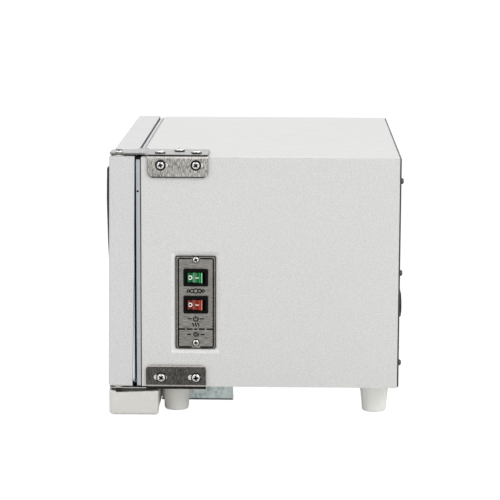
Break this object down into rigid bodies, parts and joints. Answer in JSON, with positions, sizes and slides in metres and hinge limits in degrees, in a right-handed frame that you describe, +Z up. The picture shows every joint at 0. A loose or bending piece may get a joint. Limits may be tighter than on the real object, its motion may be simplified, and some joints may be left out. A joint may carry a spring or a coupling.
{
  "type": "hot towel cabinet",
  "caption": "Countertop heated towel cabinet with a side-hinged insulated door, wire shelf, drip tray, feet and a recessed side panel of rocker switches; serves as a small laboratory incubator.",
  "frame": {"origin": "on the worktop, at the bottom centre of the whole object's bounding box", "axes": "+Z up, -Y out of the door (the front), +X to the hinge and control side, the right-hand side as seen from the front"},
  "size_m": [0.3348, 0.2777, 0.2275],
  "materials": {
    "white_paint": "satin",
    "rear_coat": "satin",
    "frame_grey": "satin",
    "stainless": "satin",
    "screw_steel": "polished",
    "galvanised": "satin",
    "aluminium": "satin",
    "white_plastic": "satin",
    "foot_plastic": "matte",
    "black_plastic": "satin",
    "green_lens": "gloss",
    "red_lens": "gloss",
    "gasket": "matte",
    "foam": "matte",
    "silicone": "matte",
    "nylon": "satin",
    "phenolic": "satin",
    "magnet": "matte",
    "cable": "satin"
  },
  "bodies": {
    "cabinet": {"outer_case": "white_paint", "base_pan": "galvanised", "rear_panel": "rear_coat", "front_frame": "frame_grey", "magnetic_catch": "magnet", "chamber_liner": "aluminium", "chamber_insulation": "foam", "heater_mat": "silicone", "thermostat": "phenolic", "thermal_cutout": "phenolic", "ozone_generator": "white_plastic", "terminal_block": "nylon", "power_inlet": "black_plastic", "mains_lead": "cable", "heater_lead": "silicone", "switch_lead": "cable", "shelf_ledge_left": "aluminium", "shelf_ledge_right": "aluminium", "wire_shelf": "screw_steel", "control_plate": "stainless", "control_plate_screw_upper": "screw_steel", "control_plate_screw_lower": "screw_steel", "ozone_switch_housing": "black_plastic", "power_switch_housing": "black_plastic", "top_hinge_bracket": "stainless", "bottom_hinge_bracket": "stainless", "top_hinge_pin": "screw_steel", "bottom_hinge_pin": "screw_steel", "top_bracket_side_screw_front": "screw_steel", "top_bracket_side_screw_rear": "screw_steel", "top_bracket_screw_front": "screw_steel", "top_bracket_screw_middle": "screw_steel", "top_bracket_screw_rear": "screw_steel", "bottom_bracket_side_screw_front": "screw_steel", "bottom_bracket_side_screw_rear": "screw_steel", "bottom_bracket_screw_front": "screw_steel", "bottom_bracket_screw_rear": "screw_steel", "tray_rail_left": "galvanised", "tray_rail_right": "galvanised", "rear_screw_left_lower": "screw_steel", "rear_screw_left_middle": "screw_steel", "rear_screw_left_upper": "screw_steel", "rear_screw_right_lower": "screw_steel", "rear_screw_right_middle": "screw_steel", "rear_screw_right_upper": "screw_steel", "foot_front_left": "foot_plastic", "foot_front_right": "foot_plastic", "foot_rear_left": "foot_plastic", "foot_rear_right": "foot_plastic"},
    "door": {"door_shell": "white_paint", "door_liner": "aluminium", "door_insulation": "foam", "door_gasket": "gasket", "door_handle": "black_plastic", "catch_plate": "galvanised", "top_hinge_bush": "nylon", "bottom_hinge_bush": "nylon"},
    "drip_tray": {"drip_tray": "white_plastic"},
    "ozone_rocker": {"ozone_rocker": "green_lens"},
    "power_rocker": {"power_rocker": "red_lens"}
  },
  "joints": [
    {"name": "door_hinge", "type": "hinge", "parent": "cabinet", "child": "door", "pos_m": [0.1582, -0.10105, 0.124], "axis": [0, 0.0096, 1], "range_deg": [0, 180]},
    {"name": "tray_slide", "type": "slide", "parent": "cabinet", "child": "drip_tray", "axis": [0, -1, 0], "range_m": [0, 0.135]},
    {"name": "ozone_rocker_tilt", "type": "hinge", "parent": "cabinet", "child": "ozone_rocker", "pos_m": [0.1601, -0.03585, 0.1197], "axis": [0, 0, 1], "range_deg": [0, 20]},
    {"name": "power_rocker_tilt", "type": "hinge", "parent": "cabinet", "child": "power_rocker", "pos_m": [0.1601, -0.03585, 0.0964], "axis": [0, 0, 1], "range_deg": [0, 20]}
  ]
}
